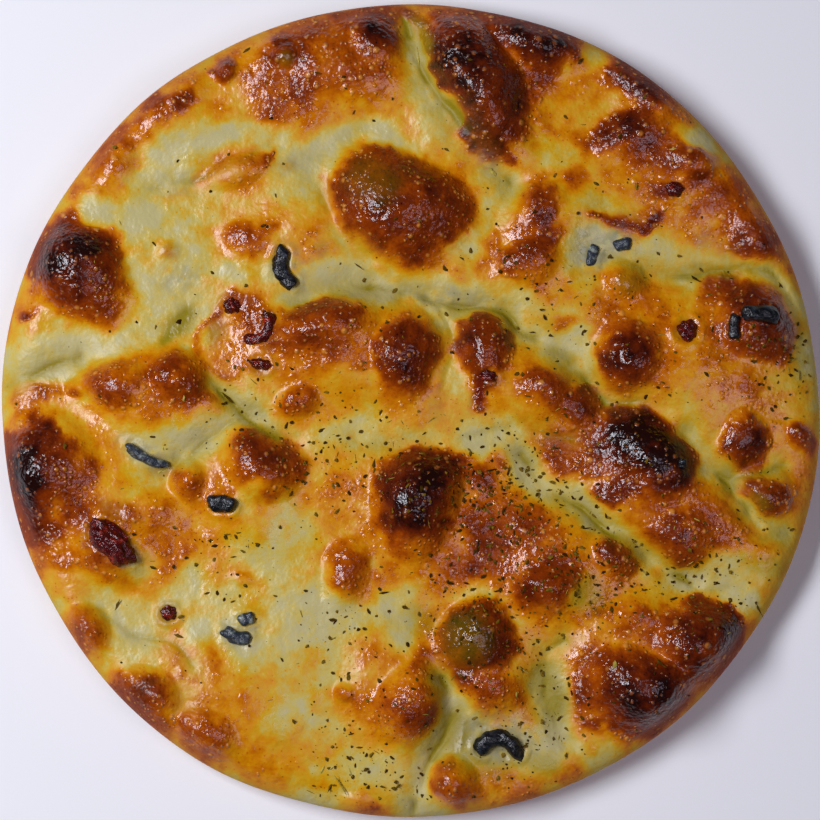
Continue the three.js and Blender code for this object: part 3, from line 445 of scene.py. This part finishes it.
class Value:
    # one socket of a shader: ordinary maths on it adds the Math nodes
    def __init__(self, bench, socket):
        self.bench = bench
        self.socket = socket

    def maths(self, operation, first, second):
        return self.bench.node("ShaderNodeMath", {"operation": operation}, {0: first, 1: second})

    def __add__(self, other):
        return self.maths("ADD", self, other)

    def __sub__(self, other):
        return self.maths("SUBTRACT", self, other)

    def __rsub__(self, other):
        return self.maths("SUBTRACT", other, self)

    def __mul__(self, other):
        return self.maths("MULTIPLY", self, other)

    __radd__ = __add__
    __rmul__ = __mul__


class Bench:
    # the nodes of one finish
    def __init__(self, name):
        self.material = bpy.data.materials.new(name)
        self.material.use_nodes = True
        self.tree = self.material.node_tree
        self.tree.nodes.clear()

    def node(self, kind, settings=None, inputs=None, output=0):
        made = self.tree.nodes.new(kind)
        for name, choice in (settings or {}).items():
            if name == "stops":
                self.fillRamp(made.color_ramp, choice)
            else:
                setattr(made, name, choice)
        for name, given in (inputs or {}).items():
            if isinstance(given, Value):
                self.tree.links.new(given.socket, made.inputs[name])
            else:
                made.inputs[name].default_value = given
        return Value(self, made.outputs[output]) if made.outputs else None

    def fillRamp(self, ramp, stops):
        while len(ramp.elements) < len(stops):
            ramp.elements.new(1)
        for element, (position, colour) in zip(ramp.elements, stops):
            element.position = position
            element.color = paint(*colour)

    def place(self):
        return self.node("ShaderNodeTexCoord", output="Object")

    def field(self, name):  # a value stored on the mesh
        return self.node("ShaderNodeAttribute", {"attribute_name": name}, output="Fac")

    def noise(self, size, detail):  # size in millimetres
        inputs = {"Vector": self.place(), "Scale": 1 / (size * mm), "Detail": detail}
        return self.node("ShaderNodeTexNoise", None, inputs)

    def dots(self, spacing, share, reach):  # round bumps at random points, 1 in the middle of each
        inputs = {"Vector": self.place(), "Scale": 1 / (spacing * mm)}
        away = self.node("ShaderNodeTexVoronoi", None, inputs)
        colour = Value(self, away.socket.node.outputs["Color"])
        pick = self.node("ShaderNodeSeparateColor", None, {"Color": colour})
        chosen = self.ease(1 - share, 1 - share * 0.4, pick)
        return (1 - self.ease(0, 1, away * (1 / reach))) * chosen

    def larger(self, first, second):
        return self.node("ShaderNodeMath", {"operation": "MAXIMUM"}, {0: first, 1: second})

    def ease(self, low, high, value):
        inputs = {"Value": value, "From Min": low, "From Max": high}
        return self.node("ShaderNodeMapRange", {"interpolation_type": "SMOOTHSTEP"}, inputs)

    def mix(self, share, first, second):
        inputs = {0: share, 6: first, 7: second}
        return self.node("ShaderNodeMix", {"data_type": "RGBA"}, inputs, output=2)

    def bump(self, depth, height):  # depth in millimetres
        inputs = {"Strength": 1, "Distance": depth * mm, "Height": height}
        return self.node("ShaderNodeBump", None, inputs)

    def finish(self, inputs):  # the last nodes, with what the Principled shader is given
        surface = self.node("ShaderNodeBsdfPrincipled", None, inputs)
        self.node("ShaderNodeOutputMaterial", None, {"Surface": surface})
        return self.material


bakedCrust = {
    "stops": [
        (0.0, (188, 176, 118)),
        (0.12, (196, 174, 82)),
        (0.22, (204, 158, 22)),
        (0.34, (208, 136, 0)),
        (0.46, (192, 104, 0)),
        (0.58, (160, 70, 0)),
        (0.70, (126, 46, 0)),
        (0.82, (96, 30, 2)),
        (0.92, (64, 15, 3)),
        (1.0, (30, 6, 3)),
    ],
    "pimple": paint(222, 150, 58),
    "darkPimple": paint(160, 84, 34),
    # oil, also painted shade in creases and hollows
    "oil": paint(142, 124, 6),
    "stain": paint(96, 20, 10),
    "film": paint(104, 112, 108),
    "roughness": 0.42,
    "dryness": 0.4,  # more roughness where the skin is dry
    "specular": 0.4,
    "dents": 0.35,
}


def crustFinish():
    bench = Bench("bakedCrust")
    baked = bench.field("browning")
    fine = bench.noise(1.1, 2)
    middle = bench.noise(3.4, 3)
    freckles = bench.dots(1.4, 0.3, 0.34)
    brown = baked + (fine - 0.5) * 0.16 + (middle - 0.5) * 0.18 + freckles * 0.2
    colour = bench.node("ShaderNodeValToRGB", {"stops": bakedCrust["stops"]}, {"Fac": brown})
    # pimples, small pale bubbles baked into the brown skin
    where = bench.ease(0.3, 0.5, baked) * bench.ease(0.25, 0.55, bench.noise(9, 2))
    pimple = bench.larger(bench.dots(1.6, 0.6, 0.46), bench.dots(3.1, 0.6, 0.4))
    pimple = bench.larger(pimple, bench.dots(5.4, 0.45, 0.32)) * where
    pale = bench.mix(bench.ease(0.55, 1, baked), bakedCrust["pimple"], bakedCrust["darkPimple"])
    colour = bench.mix(bench.ease(0.1, 0.7, pimple) * 0.7, colour, pale)
    # oil, which in creases and hollows is also painted shade
    colour = bench.mix(bench.field("oil"), colour, bakedCrust["oil"])
    colour = bench.mix(bench.field("stain"), colour, bakedCrust["stain"])
    film = bench.field("film") * bench.ease(0.3, 0.6, bench.noise(3, 3))
    colour = bench.mix(film, colour, bakedCrust["film"])
    # pale dough is smooth and satin, the browned skin is wet and rough with pimples, the side is dry
    skin = bench.ease(0.35, 0.7, baked)
    wrinkles = bench.node(
        "ShaderNodeTexNoise",
        {"noise_type": "RIDGED_MULTIFRACTAL"},
        {"Vector": bench.place(), "Scale": 1 / (5 * mm), "Detail": 2, "Distortion": 0.6},
    )
    dimples = bench.noise(2.3, 1)
    relief = (fine * 0.6 + dimples * 1.7) * (0.4 + skin * 0.6) + middle * (0.5 + skin * 0.7)
    relief = relief + pimple * 1.3 + wrinkles * (0.3 - skin * 0.25)
    smears = bench.ease(0.45, 0.65, bench.noise(14, 2)) * 0.7
    wet = bench.larger(bench.field("oil") * 0.6, smears)
    wet = bench.larger(bench.ease(0.2, 0.5, baked), wet) * (1 - bench.field("side"))
    gloss = 0.2 + bench.ease(0.35, 0.65, bench.noise(6, 2)) * 0.12
    return bench.finish({
        "Base Color": colour,
        "Roughness": bakedCrust["roughness"] + bench.field("side") * bakedCrust["dryness"] - wet * gloss,
        "Specular IOR Level": bakedCrust["specular"],
        "Normal": bench.bump(bakedCrust["dents"], relief),
    })


def addMesh(name, points, faces, fields, finish):
    mesh = bpy.data.meshes.new(name)
    mesh.from_pydata((np.asarray(points) * mm).tolist(), [], faces)
    mesh.shade_smooth()
    for field, values in fields.items():
        stored = mesh.attributes.new(field, "FLOAT", "POINT")
        stored.data.foreach_set("value", np.asarray(values, np.float32))
    mesh.materials.append(finish)
    piece = bpy.data.objects.new(name, mesh)
    bpy.context.scene.collection.objects.link(piece)
    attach(piece, "root")
    return piece


def skinRows():
    # from the middle of the top outwards, down the edge and in under the base. Each row has its
    # angles, reach, distance along the skin, and how far it is lifted to the top and to the waist
    rows = [(np.zeros(1), np.zeros(1), np.zeros(1), 1, 1)]
    for ring in range(1, crust["topRings"] + 1):
        angle = 2 * np.pi * np.arange(6 * ring) / (6 * ring)
        reach = (outline(angle) - crust["rimWidth"]) * ring / crust["topRings"]
        rows.append((angle, reach, reach, 1, 1))
    around = 6 * crust["topRings"]
    edge = 2 * np.pi * np.arange(around) / around
    for step in range(1, crust["edgeRows"] + 1):
        fall = 0.5 * math.pi * step / crust["edgeRows"]
        reach = outline(edge) - crust["rimWidth"] * (1 - math.sin(fall))
        run = outline(edge) - crust["rimWidth"] + step * crust["edgeRun"]
        rows.append((edge, reach, run, math.cos(fall), 1))
    for step in range(1, crust["footRows"] + 1):
        fall = 0.5 * math.pi * step / crust["footRows"]
        reach = outline(edge) - crust["baseInset"] * (1 - math.cos(fall))
        run = outline(edge) - crust["rimWidth"] + (crust["footStart"] + step * crust["footRun"])
        rows.append((edge, reach, run, 0, 1 - math.sin(fall)))
    for ring in range(1, crust["baseRings"]):
        reach = (outline(edge) - crust["baseInset"]) * (1 - ring / crust["baseRings"])
        rows.append((edge, reach, reach, 0, 0))
    return rows


def skinFaces():
    faces = []
    start = 1
    before = 0
    for ring in range(crust["topRings"]):
        inner = 6 * ring
        outer = inner + 6
        for part in range(6):
            for i in range(ring + 1):
                near = before + ((part * ring + i) % inner if inner else 0)
                far = start + part * (ring + 1) + i
                farNext = start + (part * (ring + 1) + i + 1) % outer
                faces.append((near, far, farNext))
                if i < ring:
                    faces.append((near, farNext, before + (part * ring + i + 1) % inner))
        before = start
        start = start + outer
    around = 6 * crust["topRings"]
    rowCount = crust["edgeRows"] + crust["footRows"] + crust["baseRings"] - 1
    for row in range(rowCount):
        for i in range(around):
            following = (i + 1) % around
            upper = before + row * around
            faces.append((upper + i, upper + around + i, upper + around + following, upper + following))
    last = before + rowCount * around
    centre = last + around  # the middle of the base, the last point of all
    for i in range(around):
        faces.append((last + i, centre, last + (i + 1) % around))
    return faces


def sideBrowning(brown, skin):  # uneven down the edge, and in soft patches under the base
    along = skin["angles"] * crust["radius"]
    ripple = cloud(along, skin["z"] * 2, 14, 401, 4)
    wall = 1 - ease(-0.3, 0.6, skin["topShare"] + 0.6 * ripple)
    low = 1 - ease(0, 0.7, skin["z"] / crust["waistHeight"])
    wallBrown = 0.34 + 0.26 * low + 0.4 * cloud(along, skin["z"] * 3, 9, 411, 4)
    brown = brown + (wallBrown - brown) * wall * 0.85
    brown = brown - 0.2 * skin["side"] * ease(0.6, 0.95, brown)
    inset = outline(skin["angles"]) - crust["baseInset"] - skin["reach"]
    under = ease(0, 12, inset) * (skin["waistShare"] == 0)
    return brown + (0.5 + 0.5 * cloud(skin["x"], skin["y"], 26, 421, 5) - brown) * under


def skinFields(skin):  # what the crust's finish reads, a value for each point
    x = skin["x"]
    y = skin["y"]
    above = skin["waistShare"] > 0
    brown = crustBrowning(x, y, skin["top"])
    broad, sharp = creaseCuts(*wander(x, y))
    brown = brown * (1 - 0.13 * broad * (1 - ease(0.45, 0.8, brown)))
    brown = brown + 0.18 * cloud(x, y, 9, 51, 4) + 0.12 * cloud(x, y, 3.2, 55, 2)
    brown = sideBrowning(brown, skin)
    # oil along the creases, partly painted shade
    folds = 0.12 * broad * ease(-0.3, 0.2, cloud(x, y, 8, 501, 2)) + 0.2 * sharp
    folds = folds * skin["topShare"] * (1 - 0.85 * ease(0.4, 0.7, brown))
    # each field, and its value at the middle of the base
    fields = {
        "browning": (brown, 0.5),
        "oil": (np.maximum(folds, tint(x, y, crust["oilAndShadePools"]) * above), 0),
        "side": (np.maximum(skin["side"], 0.1 * broad), 1),
        "stain": (tint(x, y, crust["stains"]) * above, 0),
        "film": (tint(x, y, crust["films"]) * above, 0),
    }
    return {name: np.append(values, centre) for name, (values, centre) in fields.items()}


# The skin is unrolled as one disc, and the base is a small disc beside it
skinMap = {
    "longestRun": 156,
    "disc": 0.49,
    "baseDisc": 0.07,
    "baseAside": (0.425, -0.425),
}


def spreadMap(mesh, angles, run):
    baseCorners = (4 * crust["baseRings"] - 1) * 6 * crust["topRings"]
    corner = np.zeros(len(mesh.loops), np.int32)
    mesh.loops.foreach_get("vertex_index", corner)
    scale = np.full(len(corner), skinMap["disc"] / skinMap["longestRun"])
    away = np.stack([np.cos(angles[corner]), np.sin(angles[corner])], 1) * run[corner][:, None]
    scale[-baseCorners:] = skinMap["baseDisc"] / skinMap["longestRun"]
    spots = 0.5 + away * scale[:, None]
    spots[-baseCorners:] += skinMap["baseAside"]
    layer = mesh.uv_layers.new(name="OFBake")
    layer.data.foreach_set("uv", spots.ravel().astype(np.float32))


def makeLoaf():
    rows = skinRows()
    skin = {}
    for column, name in enumerate(("angles", "reach", "run", "topShare", "waistShare")):
        skin[name] = np.concatenate([np.broadcast_to(row[column], len(row[0])) for row in rows])
    skin["side"] = ease(0.02, 0.4, 1 - skin["topShare"])
    skin["x"] = skin["reach"] * np.cos(skin["angles"])
    skin["y"] = skin["reach"] * np.sin(skin["angles"])
    skin["top"] = crustHeight(skin["x"], skin["y"])
    waist = crust["waistHeight"]
    skin["z"] = waist * skin["waistShare"] + (skin["top"] - waist) * skin["topShare"]
    points = np.stack([skin["x"], skin["y"], skin["z"]], 1)
    points = np.concatenate([points, [[0, 0, 0]]])
    loaf = addMesh("loafCrust", points, skinFaces(), skinFields(skin), crustFinish())
    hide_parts("loaf")
    spreadMap(loaf.data, np.append(skin["angles"], 0), np.append(skin["run"], 0))


def onCrust(x, y, turn, lift):  # frames standing on the crust, leaning with the slope there
    x, y, turn, lift = (np.atleast_1d(np.asarray(given, float)) for given in (x, y, turn, lift))
    east = skinHeight(x + 1, y) - skinHeight(x - 1, y)
    north = skinHeight(x, y + 1) - skinHeight(x, y - 1)
    up = np.stack([-east / 2, -north / 2, np.ones(len(x))], 1)
    up /= np.linalg.norm(up, axis=1)[:, None]
    angle = np.radians(turn)
    along = np.stack([np.cos(angle), np.sin(angle), np.zeros(len(x))], 1)
    along -= up * (along * up).sum(1)[:, None]
    along /= np.linalg.norm(along, axis=1)[:, None]
    across = np.cross(up, along)
    return np.stack([along, across, up], 2), np.stack([x, y, skinHeight(x, y) + lift], 1)


def wrinkled(points, amount, size, seed):  # pushes points in and out by a random field
    away = cloud(points[:, 0] + points[:, 2], points[:, 1] - points[:, 2], size, seed, 3)
    middle = points.mean(0)
    return points + (points - middle) * (away * amount)[:, None]


# Cut from olive rings: x, y, bend radius, length, width, height, turn, lift above the crust
olives = {
    "olive_piece_1": (-42.5, 45, 7.4, 15, 5.2, 5, 104, 0.6),
    "olive_piece_2": (-86.6, -17.2, 20, 15.5, 3.2, 4.4, 153, 0.4),
    "olive_piece_3": (-61.5, -32, 12, 8.8, 5.6, 5.4, -4, 0.8),
    "olive_piece_4": (114, 30, 18, 13, 5, 4.6, -2, 1),
    "olive_piece_5": (105.6, 26, 14, 8, 3.6, 4, 84, 0.8),
    "olive_piece_6": (59.5, 50, 9, 7, 3.6, 4, 75, -0.5),
    "olive_piece_7": (69.5, 53.5, 9, 5.4, 4, 4, 10, -0.5),
    "olive_piece_8": (-53.7, -69.6, 9, 5, 4, 3.8, 20, 0.5),
    "olive_piece_9": (-57, -75.4, 7, 9.4, 4.2, 4.2, 165, 0.5),
    "olive_piece_10": (29.3, -108.3, 6, 19.5, 5.2, 5.4, -5, 0.8),
    "olive_piece_11": (88.5, -19, 8, 3.6, 2.8, 3.2, 70, 0.6),
}

# Dried tomato that curled up: the same values
tomatoCurls = {"tomato_piece_2": (-47.2, 23.4, 4.9, 17, 3.6, 4, -135, 0.5)}

# Lumps of dried tomato: x, y, half length, half width, half height, turn, lift
tomatoLumps = {
    "tomato_piece_1": (-97.5, -44.5, 9.2, 4.6, 3.4, -40, 0.6),
    "tomato_piece_3": (90.6, 24.6, 3.2, 3.8, 2.4, 20, 0.5),
    "tomato_piece_4": (-79, -67.8, 2.8, 2.4, 2, 0, 0.4),
    "tomato_piece_5": (25.4, 9.6, 2.6, 1.9, 1.8, 0, 0.4),
    "tomato_piece_6": (-58.6, 32.8, 2.9, 2.6, 2, 0, 0.4),
    "tomato_piece_7": (86.4, 71.2, 2.7, 2.7, 1.8, 0, 0.3),
    "tomato_piece_8": (-49.2, 13.6, 3.2, 2, 1.8, -10, 0.4),
}

oliveSkin = {"dark": paint(9, 12, 16), "light": paint(40, 48, 56), "roughness": 0.3, "dents": 0.45}
tomatoSkin = {"dark": paint(70, 6, 6), "light": paint(150, 34, 14), "roughness": 0.16, "dents": 0.6}

# Some olives have a pale veil on their skin
veiledSkin = {"dark": oliveSkin["light"], "light": paint(152, 160, 148), "roughness": 0.35, "dents": 0.45}
veiledOlives = ("olive_piece_2", "olive_piece_6", "olive_piece_7", "olive_piece_8", "olive_piece_9")

toppingWrinkles = {"depth": 0.34, "size": 3.2}


def skinFinish(name, skin):
    bench = Bench(name)
    blotch = bench.ease(0.5, 0.75, bench.noise(2.4, 3))
    colour = bench.mix(blotch, skin["dark"], skin["light"])
    relief = bench.noise(1.5, 3) + bench.noise(0.6, 2) * 0.4
    bump = bench.bump(skin["dents"], relief)
    return bench.finish({"Base Color": colour, "Roughness": skin["roughness"], "Normal": bump})


def barShape(bend, length, width, height):  # a bar bent round (0, -bend), with round ends
    steps = 44
    sides = 28
    lastShare = 0.998  # the end faces stop just short of a point
    roundness = 0.74  # 1 is an oval section, less is squarer
    points = []
    for share in np.linspace(-lastShare, lastShare, steps):
        angle = share * length / bend / 2
        full = math.sqrt(1 - share**8)
        turn = 2 * np.pi * np.arange(sides) / sides
        across = np.sign(np.cos(turn)) * np.abs(np.cos(turn)) ** roundness * full * width / 2
        up = np.sign(np.sin(turn)) * np.abs(np.sin(turn)) ** roundness * full * height / 2
        radius = bend + across
        points.append(np.stack([radius * math.sin(angle), radius * math.cos(angle) - bend, up], 1))
    faces = []
    for step in range(steps - 1):
        for side in range(sides):
            here = step * sides + side
            beside = step * sides + (side + 1) % sides
            faces.append((here, beside, beside + sides, here + sides))
    faces.append(tuple(range(sides))[::-1])
    faces.append(tuple((steps - 1) * sides + side for side in range(sides)))
    return np.concatenate(points), faces


def lumpShape(long, wide, high):
    lump = bpy.data.meshes.new("lump")
    build = bmesh.new()
    bmesh.ops.create_icosphere(build, subdivisions=5, radius=1)
    build.to_mesh(lump)
    build.free()
    points = np.array([v.co for v in lump.vertices])
    faces = [tuple(f.vertices) for f in lump.polygons]
    bpy.data.meshes.remove(lump)
    x, y, z = points.T
    wrinkle = 1 + 0.09 * np.sin(7 * x + 3 * y) + 0.07 * np.sin(9 * y - 4 * z + 1)
    return points * wrinkle[:, None] * (long, wide, high), faces


def makeTopping(node, shape, finish, x, y, turn, lift):
    points, faces = shape
    seed = sum(ord(letter) for letter in node)
    points = wrinkled(points, toppingWrinkles["depth"], toppingWrinkles["size"], seed)
    frames, places = onCrust(x, y, turn, lift)
    name = node.replace("_piece_", "Piece")
    piece = addMesh(name, points @ frames[0].T + places[0], faces, {}, finish)
    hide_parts(node)


def makeToppings():
    olive = skinFinish("oliveSkin", oliveSkin)
    veiled = skinFinish("veiledOlive", veiledSkin)
    tomato = skinFinish("tomatoSkin", tomatoSkin)
    for node, (x, y, bend, length, width, height, turn, lift) in olives.items():
        skin = veiled if node in veiledOlives else olive
        makeTopping(node, barShape(bend, length, width, height), skin, x, y, turn, lift)
    for node, (x, y, bend, length, width, height, turn, lift) in tomatoCurls.items():
        makeTopping(node, barShape(bend, length, width, height), tomato, x, y, turn, lift)
    for node, (x, y, long, wide, high, turn, lift) in tomatoLumps.items():
        makeTopping(node, lumpShape(long, wide, high), tomato, x, y, turn, lift)


makeLoaf()
print("loaf made")
makeToppings()
print("olives and tomatoes made")

herbs = {
    "count": 2900,
    "twigs": 150,
    "longest": 2.6,
    "shortest": 0.3,
    "slimFrom": 1.6,  # shorter flakes are as broad as they are long, or less
    "twigExtra": 1.2,
    "twigWidth": 0.3,
    "rimGap": 3,
    # where they lie: x, y, spread, share
    "patches": [
        (0, 0, 180, 5), (60, -20, 120, 6), (-52, -2, 20, 0.5), (-20, -14, 26, 1.2), (20, -26, 24, 1.6),
        (36, -34, 26, 2.2), (25, -72, 26, 1.8), (58, -62, 26, 1.6), (-22, -74, 16, 0.4),
        (-60, -48, 16, 0.4), (96, -60, 20, 1), (122, 16, 14, 0.7), (-14, -116, 26, 1.4),
        (38, -108, 22, 1), (46, 40, 20, 0.4),
    ],
    # single leaves: x, y, length, width, turn, tone
    "leaves": [
        (-9, -61, 4.4, 0.9, 8, 0), (114, -66, 7.5, 1.1, -58, 0.15), (81, -84, 6, 1.4, -66, 0.3),
        (-96, -65, 5, 1.2, 62, 0.4), (94, 42, 4, 1.3, -40, 0.1), (122, 40, 3, 1.2, -50, 0.2),
        (-54, 118, 4.4, 1.5, 30, 0.3), (56, 114, 3.4, 1.4, 40, 0.1), (77, 102, 3, 1.2, 60, 0.4),
        (-39, -29, 3.6, 1.6, 70, 0.5), (-12, -19, 3.6, 1.2, 80, 0.3), (-76, -75, 4.4, 1.3, -20, 0.6),
        (-60, 3, 6, 1.4, -42, 0.2), (32, -22, 5.4, 0.9, 80, 0), (26, -21, 5, 0.8, 12, 0),
        (22, -46, 5.4, 0.8, 85, 0), (60, -36, 4.4, 1, -50, 0.7), (57, -40, 5, 0.6, 5, 0),
        (128, 10, 4, 0.8, 80, 0.5), (-26, -124, 4.4, 1, 62, 0.5), (-20, -115, 3.4, 1.2, -40, 0.2),
        (86, -63, 3.4, 1, 20, 0.2), (37, -60, 4, 0.9, 60, 0.2), (-17, 46, 5, 0.6, -35, 0.3),
        (-66, 71, 1.6, 1.2, 30, 0), (-47, 59, 1.8, 1.2, 60, 0), (-76, 28, 2.6, 2, 20, 0),
    ],
    # bare stems: the same values
    "stems": [
        (-82, -21.5, 5, 1.1, 25, 0.9), (-74, 2, 4.6, 0.8, 88, 0.8), (2.4, 116, 7, 0.7, -80, 0.9),
        (27, 77.5, 4, 1.2, -50, 0.8), (86, 84.5, 3.2, 0.7, 5, 0.7), (36.5, -86, 5, 0.7, -30, 0.7),
        (66, -84.4, 3, 1.6, 88, 0.5), (34.5, -94, 3, 1, 80, 0.5), (21.5, -33.5, 3.6, 0.4, 60, 0.9),
        (93, -37, 3, 0.6, -30, 0.7), (-23, -123, 11, 0.5, -60, 0.8), (-19, -121, 8, 0.4, -70, 0.9),
        (-29, -119, 4, 1.1, 62, 0.9), (6.6, -13, 3.4, 0.4, 30, 0.6), (-81, -14, 4.6, 0.5, -70, 1),
        (55, -55, 2.4, 0.6, -30, 0.8), (76, -54, 5, 0.5, -40, 0.6), (115, -37, 4, 0.5, -30, 0.8),
    ],
    "dark": paint(56, 33, 5),
    "green": paint(132, 104, 22),
    "stem": paint(196, 180, 84),
    "roughness": 0.6,
    "specular": 0.05,
    "dents": 0.1,
}


def leafFinish(name, dark, light):
    bench = Bench(name)
    colour = bench.mix(bench.field("tone"), dark, light)
    mottle = bench.mix(bench.ease(0.4, 0.6, bench.noise(0.6, 1)) * 0.4, colour, dark)
    return bench.finish({
        "Base Color": mottle,
        "Roughness": herbs["roughness"],
        "Specular IOR Level": herbs["specular"],
        "Normal": bench.bump(herbs["dents"], bench.noise(0.5, 2)),
    })


def scatterChips(name, spots, finish, pointed):  # spots: x, y, length, width, turn, tone
    # each chip is a crumpled leaf fragment with seven corners of its own
    rng = np.random.default_rng(len(spots))
    x, y, length, width, turn, tone = np.array(spots).T
    count = len(spots)
    corners = 7
    angle = 2 * np.pi * (np.arange(corners) + rng.uniform(-0.3, 0.3, (count, corners))) / corners
    ragged = rng.uniform(0.65, 1.15, (count, corners))
    along = np.cos(angle) * ragged * length[:, None] / 2
    slim = 1 - pointed * np.cos(angle) ** 2
    across = np.sin(angle) * ragged * width[:, None] / 2 * slim
    curl = rng.normal(0, 0.5, (count, 1)) * along**2 / length[:, None]
    crumple = rng.normal(0, 0.12, (count, corners)) * width[:, None]
    ring = np.stack([along, across, curl + crumple], 2)
    ridge = np.stack([0 * length, 0 * length, 0.16 * width + 0.08], 1)[:, None]
    keel = np.stack([0 * length, 0 * length, -0.12 * width - 0.08], 1)[:, None]
    shape = np.concatenate([ring, ridge, keel], 1)
    lean = rng.normal(0, 0.2, (count, 2))
    shape[:, :, 2] += shape[:, :, 0] * lean[:, :1] + shape[:, :, 1] * lean[:, 1:]
    frames, places = onCrust(x, y, turn, 0.14 + 0.1 * width)
    points = np.einsum("cij,cpj->cpi", frames, shape) + places[:, None]
    faces = []
    for first in range(0, count * (corners + 2), corners + 2):
        for i in range(corners):
            following = first + (i + 1) % corners
            faces.append((first + i, following, first + corners))
            faces.append((following, first + i, first + corners + 1))
    fields = {"tone": np.repeat(tone, corners + 2)}
    piece = addMesh(name, points.reshape(-1, 3), faces, fields, finish)
    piece.data.shade_flat()


def makeHerbs():
    rng = np.random.default_rng(7)
    shares = np.array([patch[3] for patch in herbs["patches"]])
    spots = []
    while len(spots) < herbs["count"]:
        x0, y0, spread, share = herbs["patches"][rng.choice(len(shares), p=shares / shares.sum())]
        x = x0 + rng.normal(0, spread / 2)
        y = y0 + rng.normal(0, spread / 2)
        if math.hypot(x, y) > crust["radius"] - herbs["rimGap"]:
            continue
        length = herbs["shortest"] + (herbs["longest"] - herbs["shortest"]) * rng.random() ** 3
        width = length * rng.uniform(0.4, 1) if length < herbs["slimFrom"] else rng.uniform(0.6, 1.5)
        spots.append((x, y, length, width, 360 * rng.random(), rng.random() ** 1.6))
    chips = spots[: -herbs["twigs"]]
    twigs = [
        (x, y, herbs["twigExtra"] + length, herbs["twigWidth"], turn, tone)
        for x, y, length, width, turn, tone in spots[-herbs["twigs"] :]
    ]
    leaf = leafFinish("driedHerbs", herbs["dark"], herbs["green"])
    stem = leafFinish("herbStem", herbs["green"], herbs["stem"])
    scatterChips("herbFlakes", chips, leaf, 0.3)
    scatterChips("herbLeaves", herbs["leaves"], leaf, 0.8)
    scatterChips("herbStems", herbs["stems"] + twigs, stem, 0.1)


makeHerbs()
print("herbs made")

stage = {
    "cameraTilt": 87,
    "distance": 1012,
    "lens": 135,
    "target": (-0.2, -1, 15),
    "floor": paint(238, 238, 236),
    "floorRoughness": 0.7,
    "floorHalf": 3,  # metres
    "world": paint(60, 60, 64),
    "worldStrength": 0.8,
    # soft lamps that point at the loaf: place, width and height in metres, then power and colour
    "lamps": {
        "windowLight": ((-0.62, 0.12, 0.9), 0.65, 0.28, 12.2, (0.87, 0.89, 1)),
        "roomLight": ((0.42, -0.24, 1), 0.5, 0.5, 2.4, (0.84, 0.78, 1)),
    },
}


def makeFloor():
    bench = Bench("paleFloor")
    half = stage["floorHalf"]
    corners = [(-half, -half, 0), (half, -half, 0), (half, half, 0), (-half, half, 0)]
    mesh = bpy.data.meshes.new("floor")
    mesh.from_pydata(corners, [], [(0, 1, 2, 3)])
    finish = bench.finish({"Base Color": stage["floor"], "Roughness": stage["floorRoughness"]})
    mesh.materials.append(finish)
    floor = bpy.data.objects.new("floor", mesh)
    bpy.context.scene.collection.objects.link(floor)


def addLamp(name, place, width, height, power, colour):
    lamp = bpy.data.lights.new(name, "AREA")
    lamp.shape = "RECTANGLE"
    lamp.size = width
    lamp.size_y = height
    lamp.energy = power
    lamp.color = colour
    holder = bpy.data.objects.new(name, lamp)
    holder.location = place
    holder.rotation_euler = (-Vector(place)).to_track_quat("-Z", "Y").to_euler()
    bpy.context.scene.collection.objects.link(holder)


def makeCamera():
    camera = bpy.data.cameras.new("camera")
    camera.lens = stage["lens"]
    holder = bpy.data.objects.new("camera", camera)
    tilt = math.radians(stage["cameraTilt"])
    target = Vector(stage["target"]) * mm
    holder.location = target + Vector((0, -math.cos(tilt), math.sin(tilt))) * stage["distance"] * mm
    holder.rotation_euler = (target - holder.location).to_track_quat("-Z", "Y").to_euler()
    bpy.context.scene.collection.objects.link(holder)
    bpy.context.scene.camera = holder


def makeWorld():
    world = bpy.data.worlds.new("studio")
    world.use_nodes = True
    inputs = world.node_tree.nodes["Background"].inputs
    inputs["Color"].default_value = stage["world"]
    inputs["Strength"].default_value = stage["worldStrength"]
    bpy.context.scene.world = world


makeFloor()
makeCamera()
for name, settings in stage["lamps"].items():
    addLamp(name, *settings)
makeWorld()
bpy.context.scene.view_settings.view_transform = "Standard"
print("stage made")
